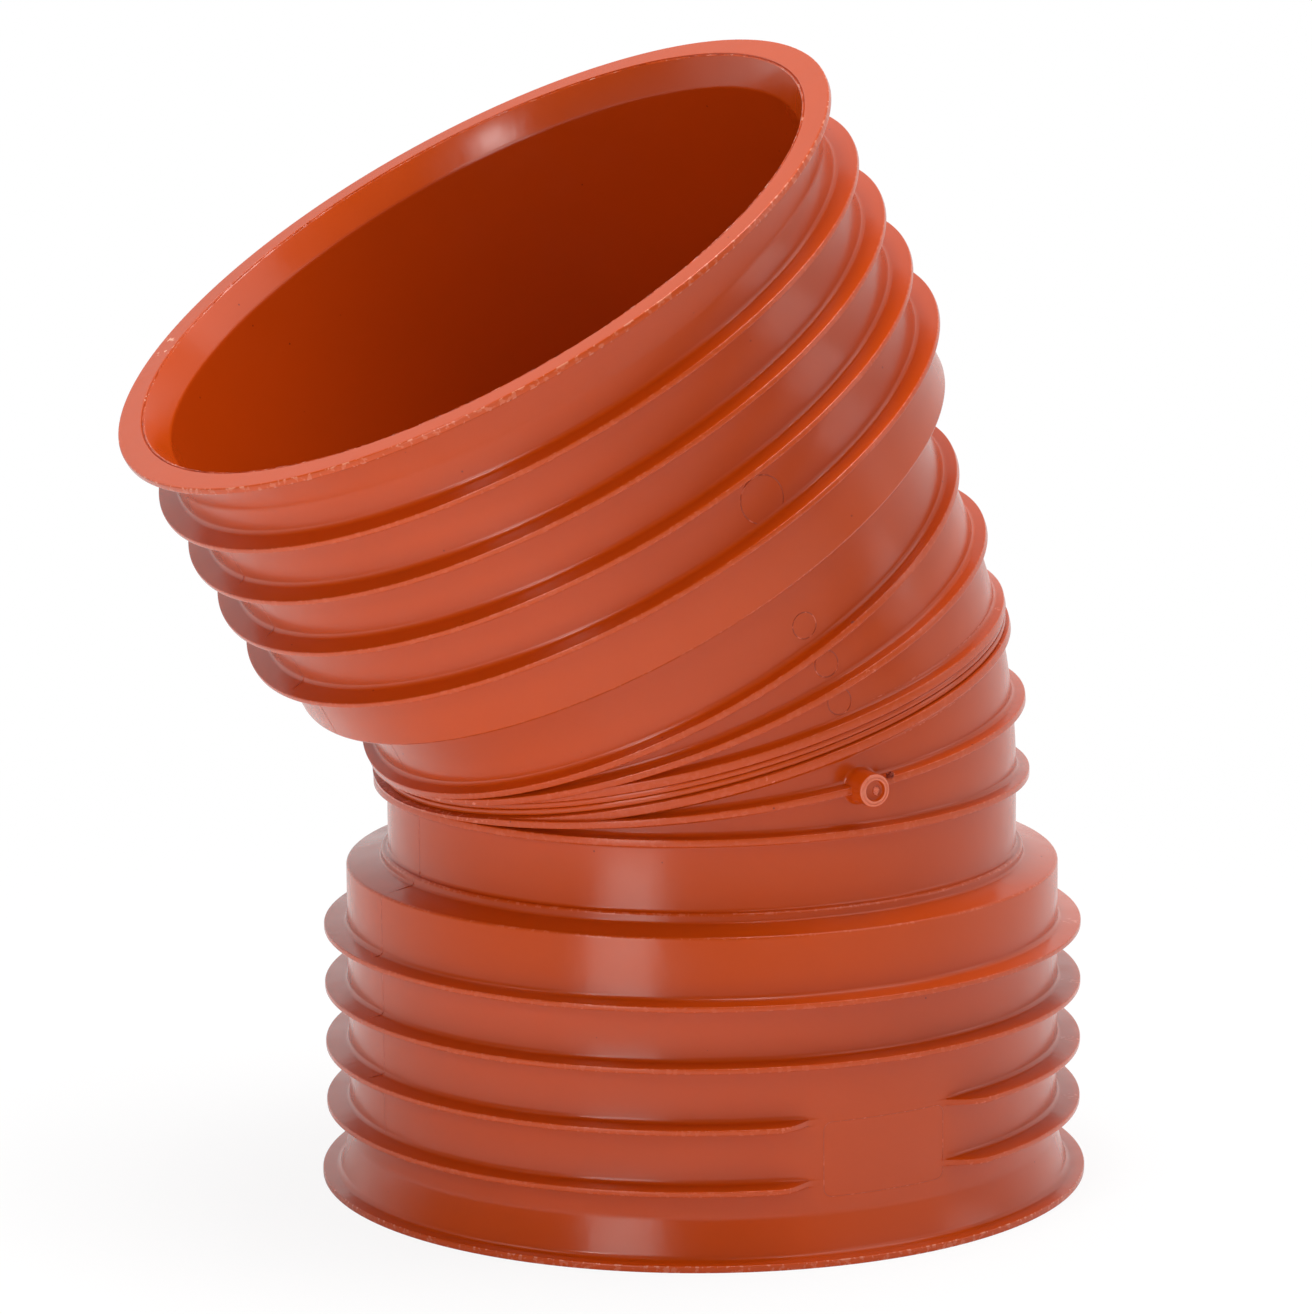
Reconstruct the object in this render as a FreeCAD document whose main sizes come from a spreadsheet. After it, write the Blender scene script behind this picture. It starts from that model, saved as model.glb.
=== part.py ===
# A double-socket bend for corrugated drain pipe, in moulded plastic.
# Two like halves are butt welded on a slanted joint, so that the bend turns by twice the slant.
# The bend stands on its lower socket: the mouth's face is the plane z = 0 and the bore runs up the Z axis.
# It leans towards -X. All lengths are millimetres and all angles are degrees.

import FreeCAD, Part
import math
import os
import Sketcher

VALUES = [
    # The socket's bore takes a pipe of 400 mm outer diameter with 2 mm of play all round.
    ("bore_radius", 202.0),
    ("socket_wall", 8.6),
    ("socket_depth", 181.0),
    # The mouth widens inside over the lead-in, and the wall outside widens with it.
    ("lead_in_width", 8.5),
    ("lead_in_depth", 17.4),
    ("rim_height", 16.8),
    ("rim_thickness", 4.0),
    ("rim_blend", 3.0),
    ("flare_rise", 5.4),
    ("flare_top", 26.5),
    # Four thin ribs stiffen the socket, evenly spaced from the first one up to the last one's margin.
    ("rib_count", 4),
    ("rib_height", 13.8),
    ("rib_tip", 3.2),
    ("rib_root", 5.0),
    ("first_rib_height", 44.7),
    ("last_rib_margin", 38.0),
    # The pipe's end stands on the stop, over which the shoulder steps in to the neck and its low collar.
    ("stop_width", 24.0),
    ("stop_thickness", 8.5),
    ("shoulder_rise", 3.5),
    ("collar_height", 4.2),
    ("collar_length", 5.5),
    ("collar_chamfer", 2.0),
    # The neck runs straight up to the bend, and the throat is the radius of the bend's inner side.
    ("neck_wall", 7.8),
    ("straight_neck", 40.0),
    ("bend_throat", 34.8),
    ("half_bend_angle", 15.0),
    # Two ribs fan out round the curved neck, each square to the bend's centre line.
    ("low_rib_tilt", 0.55),
    ("high_rib_tilt", 7.2),
    ("neck_rib_height", 7.9),
    ("neck_rib_tip", 4.2),
    ("neck_rib_root", 6.4),
    # The weld end carries a flange and one roll of the weld bead.
    ("flange_height", 5.7),
    ("flange_thickness", 5.6),
    ("flange_fade", 3.0),
    ("bead_height", 4.2),
    ("bead_groove_height", 1.8),
    ("bead_width", 3.9),
    ("bead_crown", 1.6),
    ("flange_run_in", 0.6),
    # The flat for the marking interrupts the two lowest ribs on the -Y side.
    ("marking_margin", 7.7),
    ("marking_half_angle", 12.0),
    ("marking_run_out", 5.5),
    # The stub left by the moulding gate sits across the upper neck rib on the -Y side.
    ("gate_radius", 9.5),
    ("gate_reach", 10.3),
    ("gate_lip", 3.5),
    ("gate_recess_depth", 3.0),
]


class Size:
    """A number together with the spreadsheet expression that gives it."""

    def __init__(self, value, text):
        self.value = value
        self.text = text

    def __add__(self, other):
        other = as_size(other)
        return Size(self.value + other.value, "(" + self.text + " + " + other.text + ")")

    def __sub__(self, other):
        other = as_size(other)
        return Size(self.value - other.value, "(" + self.text + " - " + other.text + ")")

    def __mul__(self, other):
        other = as_size(other)
        return Size(self.value * other.value, self.text + " * " + other.text)

    def __truediv__(self, other):
        return Size(self.value / other.value, "(" + self.text + " / " + other.text + ")")

    def __neg__(self):
        return Size(-self.value, "(-" + self.text + ")")


def as_size(number):
    if isinstance(number, Size):
        return number
    return Size(float(number), repr(float(number)))


def sine(angle):
    return Size(math.sin(math.radians(angle.value)), "sin(" + angle.text + ")")


def cosine(angle):
    return Size(math.cos(math.radians(angle.value)), "cos(" + angle.text + ")")


def fill_sheet(document):
    """Writes every value into its own named cell and gives the names back as sizes."""
    sheet = document.addObject("Spreadsheet::Sheet", "sizes")
    names = {}
    for number, (name, value) in enumerate(VALUES, start=1):
        sheet.set("A" + str(number), name)
        sheet.set("B" + str(number), repr(value))
        sheet.setAlias("B" + str(number), name)
        names[name] = Size(float(value), "sizes." + name)
    document.recompute()
    add_worked_out_sizes(names)
    return names


def add_worked_out_sizes(names):
    """Radii from the bore outwards, and heights from the mouth up, as sums of the values."""
    names["mouth_radius"] = names["bore_radius"] + names["lead_in_width"]
    names["wall_radius"] = names["bore_radius"] + names["socket_wall"]
    names["rim_radius"] = names["wall_radius"] + names["rim_height"]
    names["flare_radius"] = names["wall_radius"] + names["flare_rise"]
    names["rib_radius"] = names["wall_radius"] + names["rib_height"]
    names["neck_bore"] = names["bore_radius"] - names["stop_width"]
    names["neck_radius"] = names["neck_bore"] + names["neck_wall"]
    names["collar_radius"] = names["neck_radius"] + names["collar_height"]
    names["bend_radius"] = names["neck_radius"] + names["bend_throat"]
    names["neck_rib_radius"] = names["neck_radius"] + names["neck_rib_height"]
    names["flange_radius"] = names["neck_radius"] + names["flange_height"]
    names["bead_radius"] = names["neck_radius"] + names["bead_height"]
    names["bead_groove_radius"] = names["neck_radius"] + names["bead_groove_height"]
    names["gate_end"] = names["neck_rib_radius"] + names["gate_reach"]
    names["shoulder_height"] = names["socket_depth"] + names["stop_thickness"]
    names["collar_top"] = names["shoulder_height"] + names["shoulder_rise"] + names["collar_length"]
    names["bend_start"] = names["collar_top"] + names["straight_neck"]
    names["rib_spread"] = names["shoulder_height"] - names["last_rib_margin"] - names["first_rib_height"]
    names["rib_pitch"] = names["rib_spread"] / (names["rib_count"] - 1)
    names["marking_bottom"] = names["first_rib_height"] - names["marking_margin"]
    names["marking_top"] = names["first_rib_height"] + names["rib_pitch"] + names["marking_margin"]
    # Rings grow out of the middle of the neck's wall, so that they join it all round.
    names["ring_inside"] = names["neck_radius"] - names["neck_wall"] * 0.5


def pin(sketch, constraint, size):
    """Adds a distance and ties it to the size's expression."""
    place = sketch.addConstraint(constraint)
    sketch.setExpression("Constraints[" + str(place) + "]", size.text)


def pin_point(sketch, line, end, x, y):
    """Holds one end of a line at x and y, measured from the sketch's origin."""
    if abs(x.value) < 1e-9:
        sketch.addConstraint(Sketcher.Constraint("PointOnObject", line, end, -2))
    elif x.value > 0:
        pin(sketch, Sketcher.Constraint("DistanceX", -1, 1, line, end, x.value), x)
    else:
        pin(sketch, Sketcher.Constraint("DistanceX", line, end, -1, 1, -x.value), -x)
    if abs(y.value) < 1e-9:
        sketch.addConstraint(Sketcher.Constraint("PointOnObject", line, end, -1))
    elif y.value > 0:
        pin(sketch, Sketcher.Constraint("DistanceY", -1, 1, line, end, y.value), y)
    else:
        pin(sketch, Sketcher.Constraint("DistanceY", line, end, -1, 1, -y.value), -y)


def draw_outline(sketch, corners):
    """Joins the corners by straight lines into a closed outline."""
    corners = [(as_size(x), as_size(y)) for x, y in corners]
    points = [FreeCAD.Vector(x.value, y.value, 0) for x, y in corners]
    for number, start in enumerate(points):
        finish = points[(number + 1) % len(points)]
        sketch.addGeometry(Part.LineSegment(start, finish), False)
    for number in range(len(points)):
        following = (number + 1) % len(points)
        sketch.addConstraint(Sketcher.Constraint("Coincident", number, 2, following, 1))
    for number, (x, y) in enumerate(corners):
        pin_point(sketch, number, 1, x, y)


def draw_circle(sketch, x, y, radius):
    middle = FreeCAD.Vector(x.value, y.value, 0)
    circle = sketch.addGeometry(Part.Circle(middle, FreeCAD.Vector(0, 0, 1), radius.value), False)
    pin_point(sketch, circle, 3, x, y)
    pin(sketch, Sketcher.Constraint("Radius", circle, radius.value), radius)


def new_sketch(body, plane, name, shift=(0, 0, 0), turn=0):
    """Lays a sketch on one of the body's own planes, shifted in that plane's axes and turned in it."""
    sketch = body.newObject("Sketcher::SketchObject", name)
    for feature in body.Origin.OriginFeatures:
        if feature.Role == plane:
            sketch.AttachmentSupport = [(feature, "")]
    sketch.MapMode = "FlatFace"
    for axis, size in zip("xyz", shift):
        sketch.setExpression("AttachmentOffset.Base." + axis, as_size(size).text)
    if turn:
        sketch.setExpression("AttachmentOffset.Rotation.Angle", turn.text)
    body.Document.recompute()
    return sketch


def revolve(body, sketch, axis, angle, name):
    """Turns an outline round an axis of its sketch and adds it to the body."""
    feature = body.newObject("PartDesign::Revolution", name)
    feature.Profile = sketch
    feature.ReferenceAxis = (sketch, [axis])
    if isinstance(angle, Size):
        feature.setExpression("Angle", angle.text)
    else:
        feature.Angle = angle
    body.Document.recompute()
    return feature


def demand(condition, message):
    if not condition:
        raise RuntimeError(message)


def section_place(names, tilt):
    """The centre of the neck's section where the centre line has turned by the tilt."""
    across = names["bend_radius"] * (cosine(tilt) - 1)
    up = names["bend_start"] + names["bend_radius"] * sine(tilt)
    return across, up


def add_outside(body, names):
    """The socket's outside in one turn: rim, flare, wall, shoulder, collar and straight neck."""
    sketch = new_sketch(body, "XZ_Plane", "socket_outline")
    wall = names["wall_radius"]
    draw_outline(sketch, [
        (0, 0),
        (names["rim_radius"], 0),
        (names["rim_radius"], names["rim_thickness"]),
        (names["flare_radius"] + names["rim_blend"], names["rim_thickness"]),
        (names["flare_radius"], names["rim_thickness"] + names["rim_blend"]),
        (wall, names["flare_top"]),
        (wall, names["shoulder_height"]),
        (names["collar_radius"], names["shoulder_height"] + names["shoulder_rise"]),
        (names["collar_radius"], names["collar_top"] - names["collar_chamfer"]),
        (names["collar_radius"] - names["collar_chamfer"], names["collar_top"]),
        (names["neck_radius"], names["collar_top"]),
        (names["neck_radius"], names["bend_start"]),
        (0, names["bend_start"]),
    ])
    revolve(body, sketch, "V_Axis", 360, "socket")


def add_socket_ribs(body, names):
    """One rib turned round the socket, then repeated up the wall."""
    inside = names["bore_radius"] + names["socket_wall"] * 0.5
    middle = names["first_rib_height"]
    tip = names["rib_tip"] * 0.5
    root = names["rib_root"] * 0.5
    sketch = new_sketch(body, "XZ_Plane", "rib_outline")
    draw_outline(sketch, [
        (inside, middle - root),
        (names["rib_radius"], middle - tip),
        (names["rib_radius"], middle + tip),
        (inside, middle + root),
    ])
    rib = revolve(body, sketch, "V_Axis", 360, "rib")
    body.Tip = rib
    pattern = body.newObject("PartDesign::LinearPattern", "ribs")
    pattern.Originals = [rib]
    pattern.Direction = (sketch, ["V_Axis"])
    pattern.setExpression("Length", names["rib_spread"].text)
    pattern.setExpression("Occurrences", names["rib_count"].text)
    body.Tip = pattern
    body.Document.recompute()


def cut_marking_flat(body, names):
    """Cuts the two lowest ribs away over the marking's flat, with slanting ends."""
    wall = names["wall_radius"]
    beyond = names["rib_radius"] + names["rib_height"]
    inner = names["marking_half_angle"]
    outer = names["marking_half_angle"] + names["marking_run_out"]
    sketch = new_sketch(body, "XY_Plane", "marking_outline", shift=(0, 0, names["marking_top"]))
    corners = [
        (-(wall * sine(inner)), -(wall * cosine(inner))),
        (-(beyond * sine(outer)), -(beyond * cosine(outer))),
        (-(beyond * sine(outer)), -beyond),
        (beyond * sine(outer), -beyond),
        (beyond * sine(outer), -(beyond * cosine(outer))),
        (wall * sine(inner), -(wall * cosine(inner))),
    ]
    points = [FreeCAD.Vector(x.value, y.value, 0) for x, y in corners]
    for start, finish in zip(points, points[1:]):
        sketch.addGeometry(Part.LineSegment(start, finish), False)
    for number in range(len(points) - 2):
        sketch.addConstraint(Sketcher.Constraint("Coincident", number, 2, number + 1, 1))
    for number, (x, y) in enumerate(corners[:-1]):
        pin_point(sketch, number, 1, x, y)
    last_line = len(points) - 2
    pin_point(sketch, last_line, 2, *corners[-1])
    front = FreeCAD.Vector(0, -wall.value, 0)
    face = sketch.addGeometry(Part.Arc(points[-1], front, points[0]), False)
    # The arc's centre is the bore's axis, so its radius follows from its ends.
    sketch.addConstraint(Sketcher.Constraint("Coincident", face, 3, -1, 1))
    joined = arc_ends(sketch, face, points[0])
    sketch.addConstraint(Sketcher.Constraint("Coincident", face, joined, 0, 1))
    sketch.addConstraint(Sketcher.Constraint("PointOnObject", face, 3 - joined, last_line))
    before = body.Shape.Volume
    pocket = body.newObject("PartDesign::Pocket", "marking_flat")
    pocket.Profile = sketch
    pocket.setExpression("Length", (names["marking_top"] - names["marking_bottom"]).text)
    body.Document.recompute()
    demand(pocket.Shape.Volume < before, "the marking's flat cuts nothing")


def arc_ends(sketch, arc, point):
    """Which end of the arc, 1 or 2, lies at the point."""
    gap = (sketch.getPoint(arc, 1) - point).Length
    return 1 if gap < 0.01 else 2


def draw_bend_section(body, names, name, radius):
    """The neck's round section where the bend starts, with the bend's pivot as a construction line."""
    sketch = new_sketch(body, "XY_Plane", name, shift=(0, 0, names["bend_start"]))
    middle = as_size(0)
    draw_circle(sketch, middle, middle, radius)
    low = FreeCAD.Vector(-names["bend_radius"].value, 0, 0)
    high = FreeCAD.Vector(-names["bend_radius"].value, 50, 0)
    pivot = sketch.addGeometry(Part.LineSegment(low, high), True)
    pin_point(sketch, pivot, 1, -names["bend_radius"], middle)
    sketch.addConstraint(Sketcher.Constraint("Vertical", pivot))
    sketch.addConstraint(Sketcher.Constraint("DistanceY", pivot, 1, pivot, 2, 50))
    return sketch


def add_bend(body, names):
    """The neck swung round the bend's pivot up to the weld."""
    before = body.Shape.Volume
    sketch = draw_bend_section(body, names, "bend_section", names["neck_radius"])
    bend = revolve(body, sketch, "Axis0", names["half_bend_angle"], "bend")
    bend.Reversed = True
    body.Document.recompute()
    demand(body.Shape.Volume > before, "the bend turns the wrong way")


def cut_waterway(body, names):
    """Cuts the socket's bore and stop, and then the neck's waterway up to the joint."""
    neck_bore = names["neck_bore"]
    sketch = new_sketch(body, "XZ_Plane", "bore_outline")
    draw_outline(sketch, [
        (0, 0),
        (names["mouth_radius"], 0),
        (names["bore_radius"], names["lead_in_depth"]),
        (names["bore_radius"], names["socket_depth"]),
        (neck_bore, names["socket_depth"] + names["shoulder_rise"]),
        (neck_bore, names["bend_start"]),
        (0, names["bend_start"]),
    ])
    before = body.Shape.Volume
    bore = body.newObject("PartDesign::Groove", "bore")
    bore.Profile = sketch
    bore.ReferenceAxis = (sketch, ["V_Axis"])
    bore.Angle = 360
    body.Document.recompute()
    demand(bore.Shape.Volume < before, "the bore cuts nothing")
    before = body.Shape.Volume
    section = draw_bend_section(body, names, "waterway_section", neck_bore)
    waterway = body.newObject("PartDesign::Groove", "bend_waterway")
    waterway.Profile = section
    waterway.ReferenceAxis = (section, ["Axis0"])
    waterway.setExpression("Angle", names["half_bend_angle"].text)
    waterway.Reversed = True
    body.Document.recompute()
    demand(waterway.Shape.Volume < before, "the bend's waterway cuts nothing")


def add_ring(body, names, tilt, name, corners):
    """A ring round the neck, square to the centre line where it has turned by the tilt."""
    across, up = section_place(names, tilt)
    sketch = new_sketch(body, "XZ_Plane", name + "_outline", shift=(across, up, 0), turn=tilt)
    draw_outline(sketch, corners)
    revolve(body, sketch, "V_Axis", 360, name)


def add_neck_ribs(body, names):
    """The two ribs that fan out round the curved neck and run together on its inner side."""
    inside = names["ring_inside"]
    tip = names["neck_rib_tip"] * 0.5
    root = names["neck_rib_root"] * 0.5
    corners = [
        (inside, -root),
        (names["neck_rib_radius"], -tip),
        (names["neck_rib_radius"], tip),
        (inside, root),
    ]
    add_ring(body, names, names["low_rib_tilt"], "low_neck_rib", corners)
    add_ring(body, names, names["high_rib_tilt"], "high_neck_rib", corners)


def cut_weld_gap(body, names):
    """Clears the bead's place all round, because the ribs run into it on the bend's inner side."""
    tilt = names["half_bend_angle"]
    across, up = section_place(names, tilt)
    sketch = new_sketch(body, "XZ_Plane", "weld_gap_outline", shift=(across, up, 0), turn=tilt)
    foot = names["neck_radius"] + names["bead_groove_height"] * 0.5
    beyond = names["neck_rib_radius"] + names["neck_rib_height"]
    depth = names["bead_width"] + names["flange_run_in"] * 0.5
    draw_outline(sketch, [(foot, 0), (beyond, 0), (beyond, -depth), (foot, -depth)])
    gap = body.newObject("PartDesign::Groove", "weld_gap")
    gap.Profile = sketch
    gap.ReferenceAxis = (sketch, ["V_Axis"])
    gap.Angle = 360
    body.Document.recompute()


def add_weld_end(body, names):
    """The flange and the roll of weld bead at the slanted joint."""
    inside = names["ring_inside"]
    roll = names["bead_width"]
    crown = names["bead_crown"]
    top = names["bead_width"] + names["flange_thickness"]
    add_ring(body, names, names["half_bend_angle"], "weld_end", [
        (inside, 0),
        (names["bead_groove_radius"], 0),
        (names["bead_radius"], (crown - roll) * 0.5),
        (names["bead_radius"], (-(crown + roll)) * 0.5),
        (names["bead_groove_radius"], -roll),
        (names["flange_radius"], -(roll + names["flange_run_in"])),
        (names["flange_radius"], -top),
        (inside, -(top + names["flange_fade"])),
    ])


def add_gate_stub(body, names):
    """The round stub of the moulding gate, hollowed at its end."""
    middle = as_size(0)
    start = names["ring_inside"]
    height = section_place(names, names["high_rib_tilt"])[1]
    sketch = new_sketch(body, "XZ_Plane", "gate_outline", shift=(0, 0, start))
    draw_circle(sketch, middle, height, names["gate_radius"])
    before = body.Shape.Volume
    stub = body.newObject("PartDesign::Pad", "gate_stub")
    stub.Profile = sketch
    stub.setExpression("Length", (names["gate_end"] - start).text)
    body.Document.recompute()
    demand(stub.Shape.Volume > before, "the gate's stub adds nothing")
    mouth = new_sketch(body, "XZ_Plane", "gate_mouth", shift=(0, 0, names["gate_end"]))
    draw_circle(mouth, middle, height, names["gate_radius"] - names["gate_lip"])
    before = body.Shape.Volume
    recess = body.newObject("PartDesign::Pocket", "gate_recess")
    recess.Profile = mouth
    recess.setExpression("Length", names["gate_recess_depth"].text)
    body.Document.recompute()
    demand(recess.Shape.Volume < before, "the gate's recess cuts nothing")


def build_half(document, names, label):
    """One moulded half, from its socket's mouth up to the slanted joint."""
    body = document.addObject("PartDesign::Body", label)
    body.Label = label
    add_outside(body, names)
    add_socket_ribs(body, names)
    cut_marking_flat(body, names)
    add_bend(body, names)
    add_gate_stub(body, names)
    add_neck_ribs(body, names)
    cut_weld_gap(body, names)
    add_weld_end(body, names)
    cut_waterway(body, names)
    return body


def turn_over(body, names):
    """Turns the half by 180 degrees about the slanted line in which the joint meets the lean's plane."""
    slant = names["half_bend_angle"]
    corner = names["bend_start"] + names["bend_radius"] * Size(
        math.tan(math.radians(slant.value)), "tan(" + slant.text + ")"
    )
    across = -(corner * sine(slant + slant))
    up = corner + corner * cosine(slant + slant)
    body.setExpression(
        "Placement",
        "placement(vector(" + across.text + "; 0; " + up.text + "); "
        "rotation(vector(" + cosine(slant).text + "; 0; " + sine(slant).text + "); 180))",
    )
    body.Document.recompute()


def check(document):
    for thing in document.Objects:
        bad = [word for word in thing.State if word in ("Invalid", "Error")]
        demand(not bad, thing.Name + " is " + " ".join(thing.State))
        if hasattr(thing, "Shape") and thing.TypeId.startswith("PartDesign"):
            demand(not thing.Shape.isNull() and thing.Shape.isValid(), thing.Name + " has a bad shape")


def main():
    document = FreeCAD.newDocument("pipe_bend")
    names = fill_sheet(document)
    lower = build_half(document, names, "lower_socket_half")
    upper = build_half(document, names, "upper_socket_half")
    turn_over(upper, names)
    check(document)
    os.makedirs("parts", exist_ok=True)
    for body in (lower, upper):
        demand(len(body.Shape.Solids) == 1, body.Label + " is not one solid")
        body.Shape.exportStep("parts/" + body.Label + ".step")
        box = body.Shape.BoundBox
        print(body.Label, round(body.Shape.Volume), [round(v, 1) for v in (
            box.XMin, box.XMax, box.YMin, box.YMax, box.ZMin, box.ZMax)])


main()
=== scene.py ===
# %% [markdown]
# # A double-socket drain pipe bend
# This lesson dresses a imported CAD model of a 30 degree bend for 400 mm corrugated drain pipe. The real
# bend is two like mouldings in brown polypropylene. Each has a ribbed socket, a short curved neck and a
# slanted end, and the two slanted ends are welded face to face. So one half is modelled with care here,
# and a copy of it is turned over for the other half.

# %% The frame
import bpy
import math
import mathutils
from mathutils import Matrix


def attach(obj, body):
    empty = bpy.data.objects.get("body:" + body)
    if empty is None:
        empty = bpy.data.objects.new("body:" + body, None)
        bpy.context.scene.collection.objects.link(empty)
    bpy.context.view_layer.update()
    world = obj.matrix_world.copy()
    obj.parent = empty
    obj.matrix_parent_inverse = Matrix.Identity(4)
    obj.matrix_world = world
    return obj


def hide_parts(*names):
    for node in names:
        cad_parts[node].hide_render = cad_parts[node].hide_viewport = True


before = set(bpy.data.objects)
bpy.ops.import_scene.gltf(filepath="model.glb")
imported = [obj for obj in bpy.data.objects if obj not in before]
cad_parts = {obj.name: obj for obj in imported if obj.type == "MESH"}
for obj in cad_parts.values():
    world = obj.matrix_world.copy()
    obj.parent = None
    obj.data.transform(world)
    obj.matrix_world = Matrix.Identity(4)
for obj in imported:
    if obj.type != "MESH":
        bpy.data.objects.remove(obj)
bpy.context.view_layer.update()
print("CAD nodes:", sorted(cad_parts))

# %% [markdown]
# ## Working sizes
# Blender works in metres and the drawing of a moulding is in millimetres, so one constant turns one into
# the other. The half stands on its mouth, with the bore up the Z axis. It leans towards -X: the neck's
# centre line turns round a pivot out on that side, and the joint is where it has turned by 15 degrees.
# Every radius below is the CAD model's, so that the dressed part fills the same space.

# %% Sizes of one half, in millimetres
MM = 0.001
BORE_RADIUS = 202.0
MOUTH_RADIUS = 210.5
LEAD_IN_DEPTH = 17.4
SOCKET_DEPTH = 181.0
WALL_RADIUS = 210.6
RIM_RADIUS = 227.4
RIM_THICKNESS = 4.0
RIB_RADIUS = 224.4
RIB_HEIGHTS = [44.7 + 35.6 * number for number in range(4)]
SHOULDER_HEIGHT = 189.5
COLLAR_RADIUS = 190.0
COLLAR_TOP = 198.5
FLARE_RADIUS = 216.8
FLARE_TOP = 26.5
NECK_RADIUS = 185.8
NECK_BORE = 178.0
NECK_RIB_RADIUS = 193.7
BEND_START = 238.5
BEND_RADIUS = 220.6
JOINT_ANGLE = math.radians(15)
LOW_RIB_TILT = math.radians(0.55)
HIGH_RIB_TILT = math.radians(7.2)
COLUMNS = 320
PIVOT = mathutils.Vector((-BEND_RADIUS, 0, BEND_START)) * MM
print("one column of faces is", round(math.tau * WALL_RADIUS / COLUMNS, 2), "mm wide on the wall")

# %% [markdown]
# ## Drawing an outline
# A turned shape starts as the line that a lathe tool would follow. By hand, one point is extruded from
# corner to corner, and then each corner is rounded with a vertex bevel. Real mouldings have no sharp
# corners: a hollow corner gets a fillet, so that the plastic flows, and an edge gets a small radius from
# the mould. The helpers do the same steps: they work in the XZ plane, and X is the radius.

# %% Helpers to select, draw and round
def leave_edit_mode():
    if bpy.context.object and bpy.context.object.mode == "EDIT":
        bpy.ops.object.mode_set(mode="OBJECT")


def take_up(piece):
    """Makes one piece the only selected and active one."""
    leave_edit_mode()
    bpy.ops.object.select_all(action="DESELECT")
    piece.select_set(True)
    bpy.context.view_layer.objects.active = piece


def select_points(piece, test):
    """Leaves the piece in edit mode with just the points that pass the test selected."""
    take_up(piece)
    bpy.ops.object.mode_set(mode="EDIT")
    bpy.ops.mesh.select_mode(type="VERT")
    bpy.ops.mesh.select_all(action="DESELECT")
    bpy.ops.object.mode_set(mode="OBJECT")
    for point in piece.data.vertices:
        point.select = bool(test(point.co))
    bpy.ops.object.mode_set(mode="EDIT")


def draw_outline(name, corners, closed=False):
    """Extrudes one point from corner to corner. A corner is (radius, height, rounding), in millimetres."""
    leave_edit_mode()
    bpy.ops.object.select_all(action="DESELECT")
    first = mathutils.Vector((corners[0][0], 0, corners[0][1])) * MM
    bpy.ops.mesh.primitive_plane_add(size=MM, location=first)
    piece = bpy.context.object
    piece.name = name
    bpy.ops.object.transform_apply(location=True)
    bpy.ops.object.mode_set(mode="EDIT")
    bpy.ops.mesh.select_all(action="SELECT")
    bpy.ops.mesh.merge(type="CENTER")
    here = first
    for radius, height, rounding in corners[1:]:
        there = mathutils.Vector((radius, 0, height)) * MM
        bpy.ops.mesh.extrude_region_move(TRANSFORM_OT_translate={"value": there - here})
        here = there
    if closed:
        bpy.ops.mesh.extrude_region_move(TRANSFORM_OT_translate={"value": first - here})
        bpy.ops.mesh.select_all(action="SELECT")
        bpy.ops.mesh.remove_doubles(threshold=0.01 * MM)
    round_corners(piece, corners)
    return piece


def round_corners(piece, corners, segments=4):
    """Bevels the corners that share a rounding together, for each rounding in turn."""
    for size in sorted({rounding for _, _, rounding in corners if rounding}):
        spots = [mathutils.Vector((r, 0, h)) * MM for r, h, rounding in corners if rounding == size]
        select_points(piece, lambda co: any((co - spot).length < 0.001 * MM for spot in spots))
        bpy.ops.mesh.bevel(offset=size * MM, segments=segments, affect="VERTICES")
    leave_edit_mode()


def turn_outline(piece, columns=COLUMNS):
    """Spins the outline once round the Z axis into a closed skin."""
    take_up(piece)
    bpy.ops.object.mode_set(mode="EDIT")
    bpy.ops.mesh.select_all(action="SELECT")
    bpy.ops.mesh.spin(steps=columns, angle=math.tau, center=(0, 0, 0), axis=(0, 0, 1), use_auto_merge=True)
    tidy_skin(piece)


def tidy_skin(piece):
    """Merges doubled points and turns every face outwards."""
    take_up(piece)
    bpy.ops.object.mode_set(mode="EDIT")
    bpy.ops.mesh.select_all(action="SELECT")
    bpy.ops.mesh.remove_doubles(threshold=0.002 * MM)
    bpy.ops.mesh.normals_make_consistent(inside=False)
    leave_edit_mode()


def give_material(piece, material, test=None):
    """Gives the whole piece a material, or only the faces whose middle passes the test."""
    take_up(piece)
    bpy.ops.object.material_slot_add()
    piece.material_slots[-1].material = material
    if test:
        bpy.ops.object.mode_set(mode="EDIT")
        bpy.ops.mesh.select_mode(type="FACE")
        bpy.ops.mesh.select_all(action="DESELECT")
        bpy.ops.object.mode_set(mode="OBJECT")
        for face in piece.data.polygons:
            face.select = bool(test(face.center))
        bpy.ops.object.mode_set(mode="EDIT")
        bpy.ops.object.material_slot_assign()
        bpy.ops.mesh.select_mode(type="VERT")
        leave_edit_mode()


def count_triangles(piece):
    return sum(len(face.vertices) - 2 for face in piece.data.polygons)


# %% [markdown]
# ## The plastics
# The halves are injection moulded in polypropylene, coloured brown right through with iron oxide. The
# mould leaves it a soft, slightly greasy gloss, with a roughness of about 0.22, so a lamp shows as a
# soft-edged streak. The resin's own refractive index is 1.49, but the real skin mirrors its studio more
# weakly than that, so 1.43 is used. The colour hardly varies. What makes it look real is in the surface:
# faint ripples that bend the streaks, dull rubbed patches, a stray grain of pigment, and edges that turned
# pale where they were knocked. A flat colour with one gloss could stand in, but it would look like paint,
# so one function builds the plastic and each skin of it is a call with its own values.

# %% Helpers for materials
def srgb(text):
    """A hex colour as Blender's linear values."""
    values = [int(text[place:place + 2], 16) / 255 for place in (1, 3, 5)]
    return [v / 12.92 if v <= 0.04045 else ((v + 0.055) / 1.055) ** 2.4 for v in values] + [1.0]


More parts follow.
